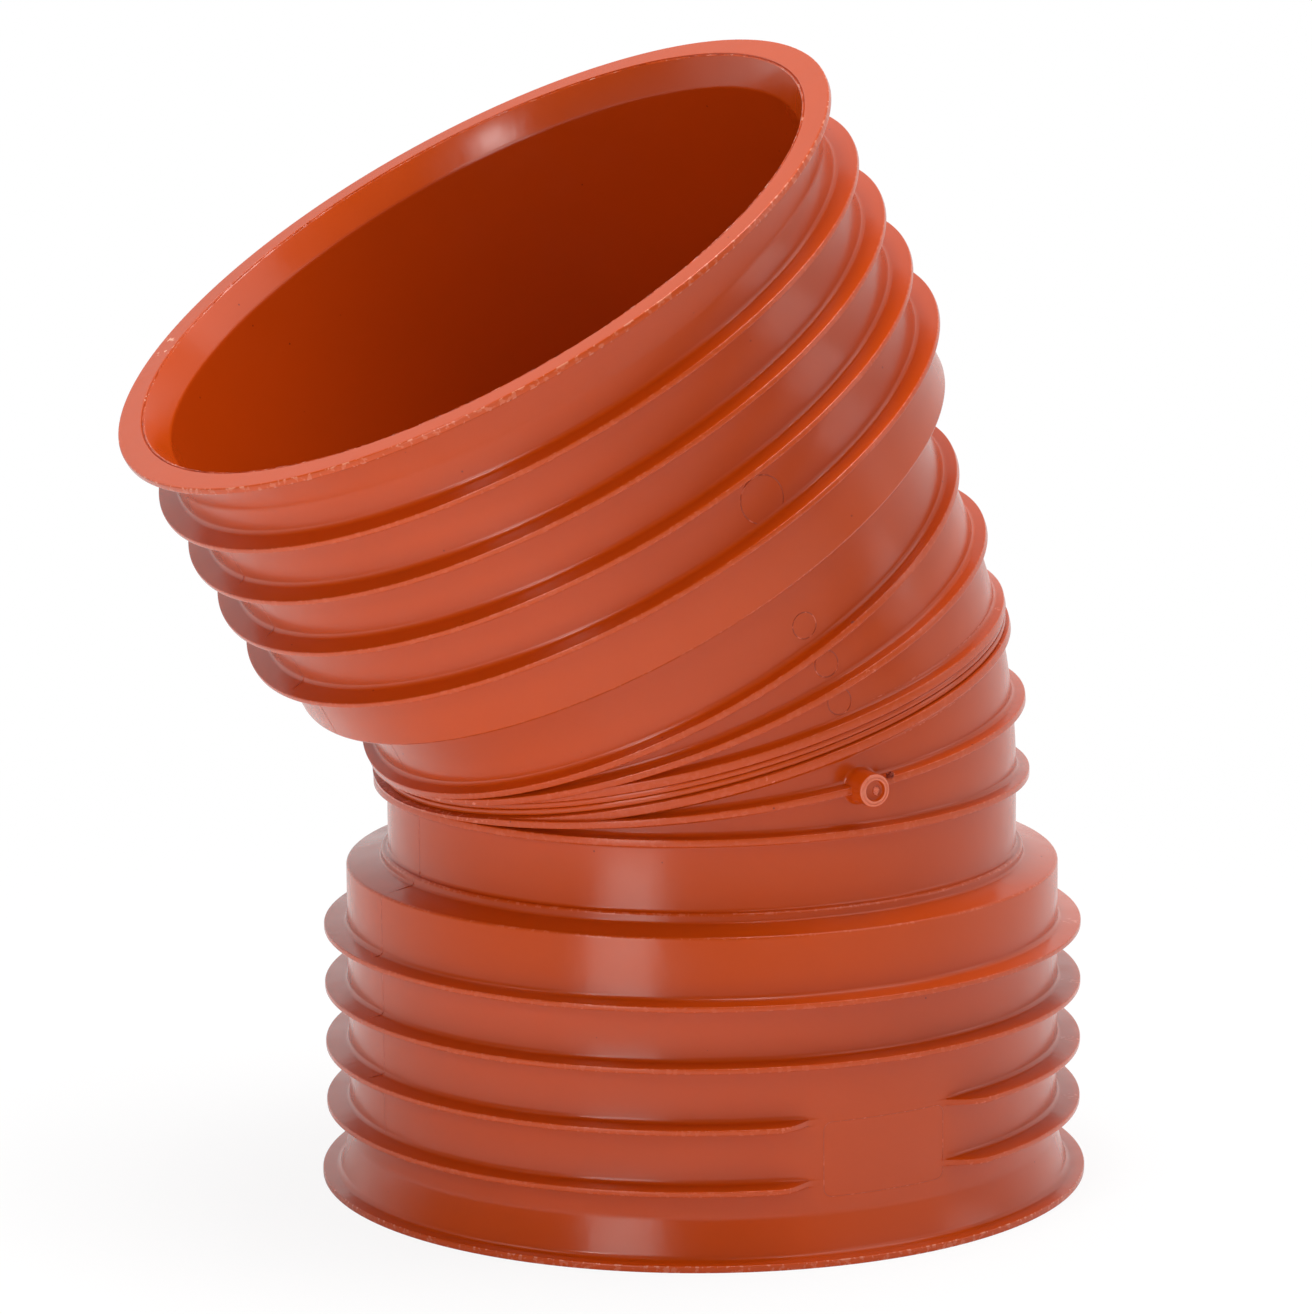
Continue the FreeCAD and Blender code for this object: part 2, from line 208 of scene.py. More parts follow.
def add_node(tree, kind, inputs=None, **settings):
    """Adds a node with its settings, and gives each input a value or a link."""
    new = tree.nodes.new(kind)
    for name, value in settings.items():
        setattr(new, name, value)
    for name, value in (inputs or {}).items():
        if isinstance(value, bpy.types.NodeSocket):
            tree.links.new(value, new.inputs[name])
        else:
            new.inputs[name].default_value = value
    return new


def start_material(name):
    material = bpy.data.materials.new(name)
    material.use_nodes = True
    material.node_tree.nodes.clear()
    return material, material.node_tree


# %% The plastic, as a function of its skin
REFRACTIVE_INDEX = 1.43
GRAIN_HEIGHT = 0.00001


def polypropylene(name, body, deep, gloss, ripple_height, ripple_scale=120.0, knocked="#D06848"):
    """Semi-gloss plastic: body and deep are its colours, and the ripples' height is in metres."""
    material, tree = start_material(name)
    place = add_node(tree, "ShaderNodeTexCoord").outputs["Object"]
    # Pigment drifts over about 90 mm.
    drift = add_node(
        tree, "ShaderNodeTexNoise", {"Vector": place, "Scale": 11.0, "Detail": 3.0}
    ).outputs[0]
    colour = add_node(
        tree, "ShaderNodeMix", {"Factor": drift, "A": srgb(body), "B": srgb(deep)}, data_type="RGBA"
    ).outputs["Result"]
    # A grain of pigment about 1 mm wide lies here and there.
    cell = add_node(tree, "ShaderNodeTexVoronoi", {"Vector": place, "Scale": 42.0}).outputs["Distance"]
    grain_share = add_node(
        tree, "ShaderNodeMapRange",
        {"Value": cell, "From Min": 0.018, "From Max": 0.03, "To Min": 0.75, "To Max": 0.0},
    ).outputs[0]
    colour = add_node(
        tree, "ShaderNodeMix", {"Factor": grain_share, "A": colour, "B": srgb("#4A1408")}, data_type="RGBA"
    ).outputs["Result"]
    # Edges are knocked pale in specks of some 3 mm. Pointiness is 0.5 on the flat and more on an edge.
    sharp = add_node(tree, "ShaderNodeNewGeometry").outputs["Pointiness"]
    on_edge = add_node(
        tree, "ShaderNodeMapRange", {"Value": sharp, "From Min": 0.515, "From Max": 0.55}
    ).outputs[0]
    speck = add_node(
        tree, "ShaderNodeTexNoise", {"Vector": place, "Scale": 300.0, "Detail": 4.0}
    ).outputs[0]
    in_speck = add_node(
        tree, "ShaderNodeMapRange", {"Value": speck, "From Min": 0.54, "From Max": 0.61}
    ).outputs[0]
    knock = add_node(tree, "ShaderNodeMath", {0: on_edge, 1: in_speck}, operation="MULTIPLY").outputs[0]
    colour = add_node(
        tree, "ShaderNodeMix", {"Factor": knock, "A": colour, "B": srgb(knocked)}, data_type="RGBA"
    ).outputs["Result"]
    # Handling leaves duller patches about 25 mm across.
    rubbed = add_node(
        tree, "ShaderNodeTexNoise", {"Vector": place, "Scale": 40.0, "Detail": 6.0}
    ).outputs[0]
    dull = add_node(
        tree, "ShaderNodeMapRange",
        {
            "Value": rubbed, "From Min": 0.3, "From Max": 0.7,
            "To Min": gloss - 0.04, "To Max": gloss + 0.05,
        },
    ).outputs[0]
    # The cooling skin ripples, over some 8 mm on the wall, and has a grain of about 1 mm. The real grain
    # is finer than that, but it would be too fine to show.
    ripple = add_node(
        tree, "ShaderNodeTexNoise", {"Vector": place, "Scale": ripple_scale, "Detail": 1.0}
    ).outputs[0]
    grain = add_node(
        tree, "ShaderNodeTexNoise", {"Vector": place, "Scale": 900.0, "Detail": 2.0}
    ).outputs[0]
    soft = add_node(
        tree, "ShaderNodeBump", {"Height": ripple, "Strength": 1.0, "Distance": ripple_height}
    ).outputs[0]
    bump = add_node(
        tree, "ShaderNodeBump",
        {"Height": grain, "Strength": 1.0, "Distance": GRAIN_HEIGHT, "Normal": soft},
    ).outputs[0]
    shader = add_node(tree, "ShaderNodeBsdfPrincipled", {
        "Base Color": colour,
        "Roughness": dull,
        "IOR": REFRACTIVE_INDEX,
        "Normal": bump,
    })
    add_node(tree, "ShaderNodeOutputMaterial", {"Surface": shader.outputs[0]})
    return material


# %% The skins of the plastic
BROWN, DEEP_BROWN = "#BE4406", "#B23F06"
# Moulded against textured steel: the soft gloss of most of the part.
moulded = polypropylene("moulded_polypropylene_brown", BROWN, DEEP_BROWN, 0.22, 0.00008)
# The half is stood on its rim, so the rim's edges are scuffed nearly white.
scuffed = polypropylene(
    "scuffed_rim_polypropylene", BROWN, DEEP_BROWN, 0.22, 0.00008, knocked="#E8A88C"
)
# The bore looks a little darker in the photograph, and its colour is painted darker to match: painted
# shade for the dimmer inside. That the mould's core polished it is a guess that would explain it, and
# nothing knocks against it there.
bore_painted_shade = polypropylene(
    "bore_painted_shade_polypropylene", "#B43C05", "#AA3805", 0.2, 0.00008, knocked="#B43C05"
)
# The weld's roll froze in the air from the melt: shinier, with small ripples of some 2 mm.
rolled = polypropylene("weld_rolled_polypropylene", BROWN, DEEP_BROWN, 0.13, 0.00004, 400.0)
# The stub's torn lip is painted paler than the body: a painted highlight for the lip as it catches the
# light. The torn pip takes the same colour.
stub_lip_painted_highlight = polypropylene("stub_lip_painted_highlight_polypropylene", "#DC7A5E", "#D06A4C", 0.28, 0.00006, 300.0)
# Dark, dull plastic for two crumbs. On the crumb beside the stub, the dark colour is painted shade for the
# shadowed corner between stub and rib.
dark_speck_and_shade = polypropylene("dark_speck_and_painted_shade_polypropylene", "#A03410", "#7A260E", 0.55, 0.0002, 300.0)
# The fine mould lines are painted darker, a painted shade for the shadow line along each ridge, and they
# are duller.
line_painted_shade = polypropylene("line_painted_shade_polypropylene", "#A83A0A", "#96330A", 0.35, 0.0001)
skins = (moulded, scuffed, bore_painted_shade, rolled, stub_lip_painted_highlight, dark_speck_and_shade, line_painted_shade)
print("skins:", [material.name for material in skins])

# %% [markdown]
# ## The socket
# A socket is the wide end that a pipe is pushed into. Its mouth has a flat rim with a lead-in cone, and
# its wall carries four thin ribs that stop it from going oval in the ground. Inside, the pipe's end
# stands on a step, and over it the shoulder draws in to the neck. All of that is round, so it could be
# built from cylinders and rings, but one outline spun once gives the wall its true thickness, with every
# fillet where it belongs and no seam between the parts.

# %% The socket's outline
def rib_corners(height):
    """The four corners of one socket rib, from above: two root fillets and two small tip radii."""
    return [
        (WALL_RADIUS, height + 2.3, 2.6),
        (RIB_RADIUS, height + 1.6, 0.7),
        (RIB_RADIUS, height - 1.6, 0.7),
        (WALL_RADIUS, height - 2.3, 2.6),
    ]


corners = [
    (NECK_RADIUS, BEND_START, 0),
    (NECK_RADIUS, COLLAR_TOP, 1.8),
    (COLLAR_RADIUS, COLLAR_TOP, 1.9),
    (COLLAR_RADIUS, SHOULDER_HEIGHT + 3.5, 1.4),
    (WALL_RADIUS, SHOULDER_HEIGHT, 1.5),
]
for height in reversed(RIB_HEIGHTS):
    corners += rib_corners(height)
corners += [
    (WALL_RADIUS, FLARE_TOP, 2.0),
    (FLARE_RADIUS, RIM_THICKNESS, 3.2),
    (RIM_RADIUS, RIM_THICKNESS, 0.8),
    (RIM_RADIUS, 0, 0.8),
    # Two points on the flat keep the wear close to its edges.
    (RIM_RADIUS - 1.4, 0, 0),
    (MOUTH_RADIUS + 2.8, 0, 0),
    # A fine groove runs round the mouth.
    (MOUTH_RADIUS + 2.0, 0, 0.15),
    (MOUTH_RADIUS + 1.4, 1.3, 0.2),
    (MOUTH_RADIUS + 0.8, 0.3, 0.2),
    (MOUTH_RADIUS, 0.5, 0.4),
    (BORE_RADIUS, LEAD_IN_DEPTH, 1.6),
    (BORE_RADIUS, SOCKET_DEPTH, 1.5),
    (NECK_BORE, SOCKET_DEPTH + 3.5, 2.0),
    (NECK_BORE, BEND_START, 0),
]
half = draw_outline("lower_socket_half_skin", corners)
print("outline:", len(corners), "corners,", len(half.data.vertices), "points after rounding")

# %% The socket's skin
def faces_the_core(co):
    """The bore, the step in it and the neck's bore, where the mould's core was. These faces get the bore's
    painted shade. Its polish is a guess.
    """
    radius = math.hypot(co.x, co.y) / MM
    in_socket = radius < BORE_RADIUS + 1 and LEAD_IN_DEPTH < co.z / MM < SOCKET_DEPTH + 4
    return in_socket or radius < NECK_BORE + 1


turn_outline(half)
give_material(half, moulded)
give_material(half, scuffed, lambda co: co.z < RIM_THICKNESS * MM)
# The bore's faces take the darker colour, painted shade for the dim inside.
give_material(half, bore_painted_shade, faces_the_core)
print("socket skin:", len(half.data.polygons), "faces")

# %% Nicks in the thin edge inside the rim's groove
def on_thin_edge(co):
    off_edge = abs(math.hypot(co.x, co.y) - (MOUTH_RADIUS + 0.6) * MM)
    return 0.2 * MM < co.z < 0.6 * MM and off_edge < 0.5 * MM


select_points(half, on_thin_edge)
bpy.ops.transform.vertex_random(offset=0.22 * MM, uniform=1.0, normal=0.0, seed=11)
leave_edit_mode()
print("the mouth's edge is nicked")

# %% [markdown]
# ## The curved neck
# Above the collar the neck runs straight for 40 mm and then bends by 15 degrees up to the joint. A curve
# modifier could bend it, but a spin is exact: the open end's two circles, outside and inside, are spun
# together round the pivot. A bridge between their far ends then closes the wall at the joint's face.

# %% Swinging the open end round the pivot
def at_open_end(co):
    return abs(co.z - BEND_START * MM) < 0.001 * MM


select_points(half, at_open_end)
bpy.ops.mesh.spin(steps=14, angle=JOINT_ANGLE, center=PIVOT, axis=(0, 1, 0))
bpy.ops.mesh.bridge_edge_loops()
tidy_skin(half)
top = max(point.co.z for point in half.data.vertices)
print("the joint's highest point is", round(top / MM, 1), "mm up")

# %% [markdown]
# ## Where the ribs stop at the panel
# On the -Y side the two lowest ribs stop short of a bare panel. They don't end with a step: each runs
# down into the wall over some 20 mm. The spun ribs are already there,
# so each column of their points is scaled towards the wall, to nothing over the panel and back to full
# height past the run-out.

# %% Running the two lowest ribs out
PANEL_ANGLE = math.radians(12)
RUN_OUT_ANGLE = math.radians(6)


def rib_share(angle):
    """The share of a rib's height that is left at this angle from the panel's middle."""
    part = min(max((abs(angle) - PANEL_ANGLE) / RUN_OUT_ANGLE, 0), 1)
    # The power lets the rib rise a little more slowly from the wall.
    return math.sin(part * math.pi / 2) ** 1.2


def in_panel_ribs(co):
    lowest, highest = RIB_HEIGHTS[0] - 4, RIB_HEIGHTS[1] + 4
    return math.hypot(co.x, co.y) > (WALL_RADIUS + 0.01) * MM and lowest * MM < co.z < highest * MM


step = math.tau / COLUMNS
for column in range(-16, 17):
    angle = column * step
    if abs(angle) < PANEL_ANGLE + RUN_OUT_ANGLE:
        foot = mathutils.Vector((math.sin(angle), -math.cos(angle), 0)) * WALL_RADIUS * MM
        direction = math.atan2(foot.y, foot.x)
        select_points(
            half,
            lambda co: in_panel_ribs(co) and abs(math.atan2(co.y, co.x) - direction) < step / 4,
        )
        share = max(rib_share(angle), 0.002)
        bpy.ops.transform.resize(value=(share, share, 1), center_override=foot)
leave_edit_mode()
run_out = [round(rib_share(PANEL_ANGLE + RUN_OUT_ANGLE * n / 4), 2) for n in range(5)]
print("a rib's height runs out by these shares:", run_out)

# %% [markdown]
# ## The fan of ribs round the neck
# Two more ribs and the weld's flange stand square to the neck's bent centre line, so they fan out on the
# long side and run together on the short one. That meeting is the hardest form on this part. Bending one
# long profile would thin the ribs on the inner side, but the real ones keep their thickness, because
# each is cut in the mould as a ring of its own. So each is spun as its own closed ring with root fillets,
# tilted into place with its foot inside the neck's wall, and cut off square where the weld's bead starts.

# %% Helpers to place a ring on the bent centre line
def centre_line(angle):
    """Where the neck's centre line is when it has turned by this angle."""
    return PIVOT + mathutils.Vector((math.cos(angle), 0, math.sin(angle))) * BEND_RADIUS * MM


JOINT_POINT = centre_line(JOINT_ANGLE)
JOINT_DIRECTION = mathutils.Vector((-math.sin(JOINT_ANGLE), 0, math.cos(JOINT_ANGLE)))


def seat_ring(ring, tilt):
    """Tilts a ring made round the Z axis and moves it to where the centre line has turned by the tilt."""
    take_up(ring)
    ring.rotation_euler = (0, -tilt, 0)
    ring.location = centre_line(tilt)
    bpy.ops.object.transform_apply(location=True, rotation=True)


def cut_at_bead(ring, depth):
    """Cuts away what reaches past the bead's groove, this far below the joint."""
    take_up(ring)
    bpy.ops.object.mode_set(mode="EDIT")
    bpy.ops.mesh.select_all(action="SELECT")
    bpy.ops.mesh.bisect(
        plane_co=JOINT_POINT - JOINT_DIRECTION * depth * MM,
        plane_no=JOINT_DIRECTION,
        use_fill=True,
        clear_outer=True,
    )
    leave_edit_mode()


# %% The two neck ribs
# A ring's foot is inside the neck's wall, and its fillets end just under the wall's face.
RING_FOOT = 182.5
FILLET_END = NECK_RADIUS - 0.05
BEAD_DEPTH = 4.2
neck_rib_corners = [
    (RING_FOOT, -5.6, 0),
    (FILLET_END, -5.6, 0),
    (FILLET_END, -2.65, 2.6),
    (NECK_RIB_RADIUS, -2.1, 0.6),
    (NECK_RIB_RADIUS, 2.1, 0.6),
    (FILLET_END, 2.65, 2.6),
    (FILLET_END, 5.6, 0),
    (RING_FOOT, 5.6, 0),
]
rings = []
for name, tilt in (("low_neck_rib", LOW_RIB_TILT), ("high_neck_rib", HIGH_RIB_TILT)):
    ring = draw_outline(name, neck_rib_corners, closed=True)
    turn_outline(ring)
    seat_ring(ring, tilt)
    cut_at_bead(ring, BEAD_DEPTH)
    give_material(ring, moulded)
    rings.append(ring)
    print(name, len(ring.data.polygons), "faces")

# %% [markdown]
# ## The weld
# The two halves are heated on a plate and pressed together. The soft plastic rolls out of the joint on
# both sides into a double bead, and behind it each half has a flange that the machine grips. Half of
# that is one more ring: a notch at the joint, one roll with a low crown, a groove, and the flange. The
# roll froze in the air and not against steel, so its points are shifted a little at random.

# %% The flange and one roll of the bead
# From the joint down: the notch, the roll, the groove behind it, and the flange that fades back.
weld_corners = [
    (RING_FOOT, 0, 0),
    (188.6, 0, 0),
    (189.55, -0.3, 0.3),
    (190.1, -1.95, 1.2),
    (189.55, -3.6, 0.3),
    (188.2, -4.0, 0.15),
    (191.5, -4.4, 0.45),
    (191.5, -9.6, 0.6),
    (FILLET_END, -11.2, 2.0),
    (FILLET_END, -13.8, 0),
    (RING_FOOT, -13.8, 0),
]
weld = draw_outline("weld_end", weld_corners, closed=True)
turn_outline(weld)
select_points(weld, lambda co: math.hypot(co.x, co.y) > 188.2 * MM and -3.5 * MM < co.z < -0.4 * MM)
bpy.ops.transform.vertex_random(offset=0.03 * MM, uniform=1.0, normal=0.0, seed=7)
leave_edit_mode()
give_material(weld, moulded)
give_material(weld, rolled, lambda co: math.hypot(co.x, co.y) > 187.0 * MM and co.z > -3.6 * MM)
seat_ring(weld, JOINT_ANGLE)
rings.append(weld)
print("weld ring:", len(weld.data.polygons), "faces")

# %% [markdown]
# ## The gate stub
# Molten plastic entered each half through a gate on its neck, across the upper rib. Afterwards the runner
# was broken off and left a short hollow stub with a torn pip in its floor. The stub is turned like the
# rest, this time round its own axis, with a flared foot that meets the neck, and then laid over to -Y.

# %% The stub, spun and laid over
GATE_HEIGHT = BEND_START + BEND_RADIUS * math.sin(HIGH_RIB_TILT)
PALE_LIP_FROM = -202.9
# From the neck outwards: the hidden foot, its flare, the side, the stepped lip and the sunk floor.
stub_corners = [
    (0, 181.0, 0),
    (12.6, 181.0, 0),
    (12.4, 185.2, 0),
    (9.7, 186.3, 2.0),
    (9.5, 202.7, 0.3),
    (8.9, 203.1, 0.2),
    (8.7, 204.0, 0.25),
    (8.0, 204.0, 0.1),
    (7.7, 203.3, 0.1),
    (7.2, 203.8, 0.15),
    (6.2, 204.0, 0.4),
    (5.5, 201.4, 0.4),
    (0, 201.2, 0),
]
stub = draw_outline("gate_stub", stub_corners)
turn_outline(stub, 64)
stub.rotation_euler = (math.radians(90), 0, 0)
stub.location = (0, 0, GATE_HEIGHT * MM)
bpy.ops.object.transform_apply(location=True, rotation=True)
give_material(stub, moulded)
# The lip's paler colour is a painted highlight.
give_material(stub, stub_lip_painted_highlight, lambda co: co.y < PALE_LIP_FROM * MM)
rings.append(stub)
print("stub reaches y =", round(min(point.co.y for point in stub.data.vertices) / MM, 1), "mm")

# %% The torn pip in the stub's floor, and a dark crumb on the rib beside it, with painted shade
def add_crumb(name, place, size, rough, seed, material):
    """A small torn lump: a ball squeezed to a size and roughened, all in millimetres."""
    bpy.ops.object.select_all(action="DESELECT")
    bpy.ops.mesh.primitive_ico_sphere_add(subdivisions=3, radius=MM)
    crumb = bpy.context.object
    crumb.name = name
    crumb.scale = size
    crumb.location = mathutils.Vector(place) * MM
    bpy.ops.object.transform_apply(location=True, scale=True)
    bpy.ops.object.mode_set(mode="EDIT")
    bpy.ops.mesh.select_all(action="SELECT")
    bpy.ops.transform.vertex_random(offset=rough * MM, uniform=1.0, normal=0.0, seed=seed)
    leave_edit_mode()
    give_material(crumb, material)
    rings.append(crumb)
    print(name, len(crumb.data.polygons), "faces")


# The pip takes the lip's paler colour, the painted highlight.
add_crumb("torn_pip", (1.7, -201.4, GATE_HEIGHT - 0.3), (1.7, 1.3, 2.7), 0.5, 3, stub_lip_painted_highlight)
# This crumb's dark colour is painted shade for the corner between the stub and the rib.
add_crumb("crumb_painted_shade", (16.0, -192.6, 271.6), (2.2, 1.1, 1.8), 0.8, 9, dark_speck_and_shade)
add_crumb("dark_speck", (25, 191.2, 239.0), (1.3, 0.7, 0.8), 0.25, 4, dark_speck_and_shade)

# %% [markdown]
# ## Fine lines that the mould leaves
# A mould is made of several blocks, and plastic creeps a little into each joint between them. So a fine
# line runs up both sides where the mould opens, from over the first rib to the neck, a frame surrounds
# the plate in the panel, and a circle shows where a plug or an ejector sits. Each line is a wire laid
# onto the skin with a shrinkwrap and then thickened. A bump texture would be cheaper, but a real ridge
# also catches the light at the edge.

# %% A wire laid on the skin
def lay_ridge(wire, axis, backwards, half_width=0.4, sink=0.15):
    """Projects a wire along an axis onto the half, sinks it a little and thickens it to a ridge."""
    take_up(wire)
    lay = wire.modifiers.new("lay_on_skin", "SHRINKWRAP")
    lay.target = half
    lay.wrap_method = "PROJECT"
    lay.use_project_x = axis == "x"
    lay.use_project_y = axis == "y"
    lay.use_positive_direction = not backwards
    lay.use_negative_direction = backwards
    bpy.ops.object.modifier_apply(modifier=lay.name)
    shift = (-sink if backwards else sink) * MM
    bpy.ops.object.mode_set(mode="EDIT")
    bpy.ops.mesh.select_all(action="SELECT")
    bpy.ops.transform.translate(value=(shift, 0, 0) if axis == "x" else (0, shift, 0))
    leave_edit_mode()
    bpy.ops.object.convert(target="CURVE")
    wire.data.bevel_depth = half_width * MM
    wire.data.bevel_resolution = 1
    wire.data.use_fill_caps = True
    bpy.ops.object.convert(target="MESH")
    # The ridge's darker colour is painted shade.
    give_material(wire, line_painted_shade)
    rings.append(wire)
    print(wire.name, len(wire.data.polygons), "faces")


# %% Plug circles on the +Y side
PLUG_RADIUS, EJECTOR_RADIUS = 7.5, 13.6
CLEAR_OF_PART = 260
for number, (x, height, radius) in enumerate((
    (1, 225, PLUG_RADIUS),
    (1.6, 252.1, PLUG_RADIUS),
    (-2.2, 275.6, PLUG_RADIUS),
    (5, 137, EJECTOR_RADIUS),
)):
    bpy.ops.object.select_all(action="DESELECT")
    bpy.ops.mesh.primitive_circle_add(
        vertices=64,
        radius=radius * MM,
        location=(x * MM, CLEAR_OF_PART * MM, height * MM),
        rotation=(math.pi / 2, 0, 0),
    )
    circle = bpy.context.object
    circle.name = "plug_circle_" + str(number + 1)
    bpy.ops.object.transform_apply(location=True, rotation=True)
    # The large circle stops at the fillet of the rib beside it.
    select_points(circle, lambda co: 147.2 * MM < co.z < 160 * MM)
    bpy.ops.mesh.delete(type="VERT")
    leave_edit_mode()
    lay_ridge(circle, "y", True)

# %% The frame round the panel's plate, on the -Y side
PLATE_WIDTH, PLATE_HEIGHT, PLATE_ROUNDING = 79, 43.6, 5
bpy.ops.object.select_all(action="DESELECT")
bpy.ops.mesh.primitive_plane_add(
    size=MM, location=(3.5 * MM, -CLEAR_OF_PART * MM, 57.8 * MM), rotation=(math.pi / 2, 0, 0)
)
plate = bpy.context.object
plate.name = "marking_frame"
plate.scale = (PLATE_WIDTH, PLATE_HEIGHT, 1)
bpy.ops.object.transform_apply(location=True, rotation=True, scale=True)
bpy.ops.object.mode_set(mode="EDIT")
bpy.ops.mesh.select_all(action="SELECT")
bpy.ops.mesh.bevel(offset=PLATE_ROUNDING * MM, segments=6, affect="VERTICES")
bpy.ops.mesh.select_all(action="SELECT")
bpy.ops.mesh.delete(type="ONLY_FACE")
bpy.ops.mesh.select_all(action="SELECT")
bpy.ops.mesh.subdivide(number_cuts=6)
leave_edit_mode()
lay_ridge(plate, "y", False, half_width=0.22, sink=0.1)

# %% The parting line, up both sides
SEAM_START, SEAM_END = 48, 236
for side in ("x_side", "far_side"):
    seam = draw_outline(
        "parting_line_" + side, [(CLEAR_OF_PART, SEAM_START, 0), (CLEAR_OF_PART, SEAM_END, 0)]
    )
    select_points(seam, lambda co: True)
    # A point every 0.4 mm lets the line follow the fillets.
    bpy.ops.mesh.subdivide(number_cuts=460)
    leave_edit_mode()
    lay_ridge(seam, "x", True, half_width=0.2, sink=0.1)
# Both lie on the +X side now, so the last one is turned round to the far side.
seam.rotation_euler = (0, 0, math.pi)
take_up(seam)
bpy.ops.object.transform_apply(rotation=True)

# %% [markdown]
# ## One half, and the other
# The rings stay closed shells that reach into the wall, and they are joined into the skin's object. The
# upper half is the same moulding turned by half a turn about the slanted line in the joint's face, so it
# is a true copy with its own mesh and not a mirror image: the panel and the stub land on the far side,
# and the marks of the other side come to the front.

# %% Joining and turning over
bpy.ops.object.select_all(action="DESELECT")
for ring in rings:
    ring.select_set(True)
half.select_set(True)
bpy.context.view_layer.objects.active = half
bpy.ops.object.join()
lower = bpy.context.object
lower.name = "lower_half_moulding"
bpy.ops.object.shade_smooth_by_angle(angle=math.radians(35))
print("one half:", count_triangles(lower), "triangles")

corner = mathutils.Vector((0, 0, BEND_START + BEND_RADIUS * math.tan(JOINT_ANGLE))) * MM
slanted_line = mathutils.Vector((math.cos(JOINT_ANGLE), 0, math.sin(JOINT_ANGLE)))
half_turn = mathutils.Quaternion(slanted_line, math.pi)
bpy.ops.object.duplicate()
upper = bpy.context.object
upper.name = "upper_half_moulding"
upper.rotation_mode = "QUATERNION"
upper.rotation_quaternion = half_turn
upper.location = corner - half_turn @ corner
bpy.ops.object.transform_apply(location=True, rotation=True)
print("the upper half reaches", round(max(point.co.z for point in upper.data.vertices), 3), "m up")

# %% Dressing the pieces
for piece, node in ((lower, "lower_socket_half"), (upper, "upper_socket_half")):
    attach(piece, "root")
    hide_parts(node)
    print(piece.name, "stands for", node)

# %% [markdown]
# ## The studio
# The photograph was taken in a white studio. An upright lamp stands close to the left of the camera and
# draws the streak down the walls, with a smaller one over it. A strong box overhead lights the rims, and
# four weaker boxes at the sides fill in the ribs and the necks. Their powers and the plastic's base
# colour were fitted to the photograph. The white all round belongs to the floor and isn't more light:
# rays from the camera, and rays that glass lets through, see it white. Polished things mirror the lit
# backdrop behind the part in the same way. Every other ray meets plain matt paint, and so the part keeps
# its shadow.

# %% Directions, as the camera sees them
# CAMERA_SIDE is the level way from the part to the camera, and MIDDLE is what the lamps aim at.
CAMERA_SIDE = mathutils.Vector((-0.4726, -0.8813, 0))
CAMERA_RIGHT = mathutils.Vector((0.8813, -0.4726, 0))
MIDDLE = mathutils.Vector((-0.05, 0, 0.33))


def toward(azimuth, elevation):
    """A direction by its angle to the right of the camera and its angle up, in degrees."""
    turned, raised = math.radians(azimuth), math.radians(elevation)
    level = CAMERA_SIDE * math.cos(turned) + CAMERA_RIGHT * math.sin(turned)
    return level * math.cos(raised) + mathutils.Vector((0, 0, math.sin(raised)))


def add_ramp(tree, vector, axis, low, high):
    """Rises from 0 to 1 while the vector's share along an axis goes from low to high."""
    along = add_node(
        tree, "ShaderNodeVectorMath", {0: vector, 1: axis}, operation="DOT_PRODUCT"
    ).outputs["Value"]
    return add_node(
        tree, "ShaderNodeMapRange", {"Value": along, "From Min": low, "From Max": high}
    ).outputs[0]


def add_math(tree, operation, first, second):
    return add_node(tree, "ShaderNodeMath", {0: first, 1: second}, operation=operation).outputs[0]


# %% Floor
bpy.ops.object.select_all(action="DESELECT")
bpy.ops.mesh.primitive_plane_add(size=60)
floor = bpy.context.object
floor.name = "studio_floor"
material, tree = start_material("studio_floor_white")
ray = add_node(tree, "ShaderNodeLightPath").outputs
place = add_node(tree, "ShaderNodeTexCoord").outputs["Object"]
matt = add_node(tree, "ShaderNodeBsdfDiffuse", {"Color": srgb("#F2F2F2")}).outputs[0]
white = add_node(tree, "ShaderNodeEmission", {"Color": (1, 1, 1, 1), "Strength": 1.0}).outputs[0]
far_floor = add_ramp(tree, place, -CAMERA_SIDE, -0.3, 0.6)
mirrored = add_math(tree, "MULTIPLY", ray["Is Glossy Ray"], far_floor)
straight = add_math(tree, "MAXIMUM", ray["Is Camera Ray"], ray["Is Transmission Ray"])
# Near the part the floor is mostly white and takes the shadow, and from 1.3 m out it is all white.
distance = add_node(tree, "ShaderNodeVectorMath", {0: place}, operation="LENGTH").outputs["Value"]
whiteness = add_node(
    tree, "ShaderNodeMapRange",
    {"Value": distance, "From Min": 0.3, "From Max": 1.3, "To Min": 0.88, "To Max": 1.0},
).outputs[0]
seen = add_math(tree, "MULTIPLY", straight, whiteness)
share = add_math(tree, "MAXIMUM", seen, add_math(tree, "MULTIPLY", mirrored, 0.9))
mixed = add_node(tree, "ShaderNodeMixShader", {"Fac": share, 1: matt, 2: white}).outputs[0]
add_node(tree, "ShaderNodeOutputMaterial", {"Surface": mixed})
floor.data.materials.append(material)
print("floor:", floor.name, "in", material.name)

# %% World
world = bpy.data.worlds.new("studio")
bpy.context.scene.world = world
world.use_nodes = True
tree = world.node_tree
tree.nodes.clear()
ray = add_node(tree, "ShaderNodeLightPath").outputs
direction = add_node(tree, "ShaderNodeTexCoord").outputs["Generated"]
